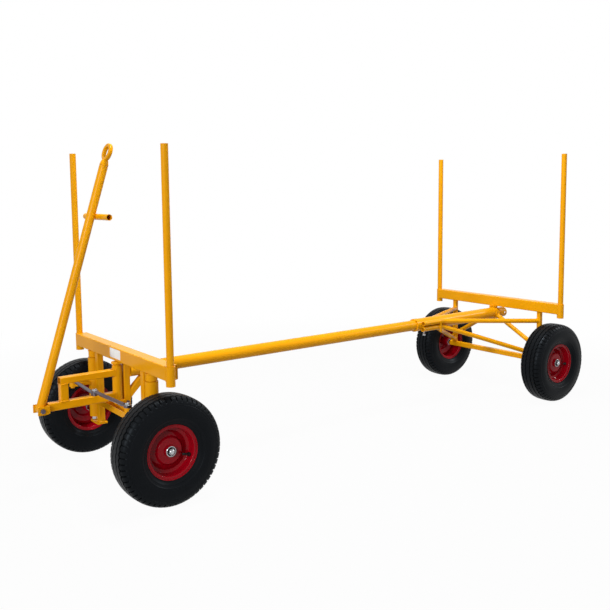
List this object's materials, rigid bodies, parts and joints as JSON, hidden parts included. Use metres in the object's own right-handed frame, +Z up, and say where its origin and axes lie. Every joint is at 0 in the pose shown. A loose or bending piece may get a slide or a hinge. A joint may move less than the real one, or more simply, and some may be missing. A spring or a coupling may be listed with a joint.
{
  "type": "long load trailer",
  "caption": "Hand-drawn trailer for long goods: steered front carriage and sliding rear carriage on one long tube, each with a stake bolster and air-filled tyres.",
  "frame": {"origin": "on the floor under the middle of the whole trailer, from the clevis tip to the back of the rear tyres", "axes": "+Z up, +Y to the rear, so the drawbar is at -Y, and +X to the trailer's left"},
  "size_m": [0.986, 3.185, 1.4805],
  "materials": {
    "frame_paint": "gloss powder coat",
    "rim_paint": "gloss enamel",
    "tyre_rubber": "semi-matt moulded rubber",
    "zinc_steel": "bright zinc plate",
    "dark_steel": "plain drawn steel"
  },
  "bodies": {
    "front_carriage": {"front_bolster": "frame_paint", "front_stake_sockets": "frame_paint", "front_posts": "frame_paint", "front_foot_plates": "frame_paint", "kingpins": "frame_paint", "kingpin_nuts": "zinc_steel", "front_cross_channel": "frame_paint", "centre_post": "frame_paint", "main_tube": "frame_paint", "main_tube_brace": "frame_paint", "steering_pin": "frame_paint", "steering_lugs": "frame_paint"},
    "steering_frame": {"steering_pivot_tube": "frame_paint", "steering_upper_bar": "frame_paint", "steering_lower_bar": "frame_paint", "steering_upright": "frame_paint", "drawbar_clevis": "frame_paint", "drawbar_hinge_bolt": "dark_steel", "tie_rod_bolt": "zinc_steel"},
    "drawbar": {"drawbar_sleeve": "frame_paint", "drawbar_tube": "frame_paint", "tow_eye": "frame_paint", "drawbar_handle": "frame_paint"},
    "rear_carriage": {"rear_bolster": "frame_paint", "rear_stake_sockets": "frame_paint", "rear_posts": "frame_paint", "rear_axle_beam": "frame_paint", "rear_stub_axles": "zinc_steel", "rear_sleeve": "frame_paint", "rear_saddle": "frame_paint", "clamp_screw": "zinc_steel", "upper_stays": "frame_paint", "lower_stays": "frame_paint", "stay_straps": "frame_paint", "rear_braces": "frame_paint"},
    "knuckle_left": {"kingpin_housing_left": "frame_paint", "steering_arm_left": "frame_paint", "arm_bolt_left": "zinc_steel", "front_stub_axle_left": "zinc_steel"},
    "tie_rod_left": {"tie_rod_left": "dark_steel"},
    "knuckle_right": {"kingpin_housing_right": "frame_paint", "steering_arm_right": "frame_paint", "arm_bolt_right": "zinc_steel", "front_stub_axle_right": "zinc_steel"},
    "tie_rod_right": {"tie_rod_right": "dark_steel"},
    "front_left_stake": {"front_left_stake": "frame_paint"},
    "front_left_wheel": {"front_left_rim": "rim_paint", "front_left_tyre": "tyre_rubber"},
    "front_right_stake": {"front_right_stake": "frame_paint"},
    "front_right_wheel": {"front_right_rim": "rim_paint", "front_right_tyre": "tyre_rubber"},
    "rear_left_stake": {"rear_left_stake": "frame_paint"},
    "rear_left_wheel": {"rear_left_rim": "rim_paint", "rear_left_tyre": "tyre_rubber"},
    "rear_right_stake": {"rear_right_stake": "frame_paint"},
    "rear_right_wheel": {"rear_right_rim": "rim_paint", "rear_right_tyre": "tyre_rubber"}
  },
  "joints": [
    {"name": "steering", "type": "hinge", "parent": "front_carriage", "child": "steering_frame", "pos_m": [0, -1.2225, 0.43], "axis": [0, 0, 1], "range_deg": [-30, 30]},
    {"name": "drawbar_fold", "type": "hinge", "parent": "steering_frame", "child": "drawbar", "pos_m": [0, -1.5735, 0.365], "axis": [1, 0, 0], "range_deg": [0, 120]},
    {"name": "length_slide", "type": "slide", "parent": "front_carriage", "child": "rear_carriage", "axis": [0, 1, 0], "range_m": [-1.2, 0.06]},
    {"name": "kingpin_left", "type": "hinge", "parent": "front_carriage", "child": "knuckle_left", "pos_m": [0.302, -1.2035, 0.336], "axis": [0, 0, 1], "range_deg": [-29.2, 29.2]},
    {"name": "tie_rod_pivot_left", "type": "hinge", "parent": "steering_frame", "child": "tie_rod_left", "pos_m": [0, -1.3295, 0.4], "axis": [0, 0, 1], "range_deg": [-30, 30]},
    {"name": "kingpin_right", "type": "hinge", "parent": "front_carriage", "child": "knuckle_right", "pos_m": [-0.302, -1.2035, 0.336], "axis": [0, 0, 1], "range_deg": [-29.2, 29.2]},
    {"name": "tie_rod_pivot_right", "type": "hinge", "parent": "steering_frame", "child": "tie_rod_right", "pos_m": [0, -1.3295, 0.4], "axis": [0, 0, 1], "range_deg": [-30, 30]},
    {"name": "front_left_stake_lift", "type": "slide", "parent": "front_carriage", "child": "front_left_stake", "axis": [0, 0, 1], "range_m": [0, 0.075]},
    {"name": "front_left_wheel_spin", "type": "hinge", "parent": "knuckle_left", "child": "front_left_wheel", "pos_m": [0.422, -1.2035, 0.23], "axis": [1, 0, 0], "continuous": true},
    {"name": "front_right_stake_lift", "type": "slide", "parent": "front_carriage", "child": "front_right_stake", "axis": [0, 0, 1], "range_m": [0, 0.075]},
    {"name": "front_right_wheel_spin", "type": "hinge", "parent": "knuckle_right", "child": "front_right_wheel", "pos_m": [-0.422, -1.2035, 0.23], "axis": [1, 0, 0], "continuous": true},
    {"name": "rear_left_stake_lift", "type": "slide", "parent": "rear_carriage", "child": "rear_left_stake", "axis": [0, 0, 1], "range_m": [0, 0.075]},
    {"name": "rear_left_wheel_spin", "type": "hinge", "parent": "rear_carriage", "child": "rear_left_wheel", "pos_m": [0.422, 1.3625, 0.23], "axis": [1, 0, 0], "continuous": true},
    {"name": "rear_right_stake_lift", "type": "slide", "parent": "rear_carriage", "child": "rear_right_stake", "axis": [0, 0, 1], "range_m": [0, 0.075]},
    {"name": "rear_right_wheel_spin", "type": "hinge", "parent": "rear_carriage", "child": "rear_right_wheel", "pos_m": [-0.422, 1.3625, 0.23], "axis": [1, 0, 0], "continuous": true}
  ],
  "couplings": [
    {"joint": "kingpin_left", "follows": "steering", "ratio": 0.97273},
    {"joint": "tie_rod_pivot_left", "follows": "steering", "ratio": -1},
    {"joint": "kingpin_right", "follows": "steering", "ratio": 0.97273},
    {"joint": "tie_rod_pivot_right", "follows": "steering", "ratio": -1}
  ]
}
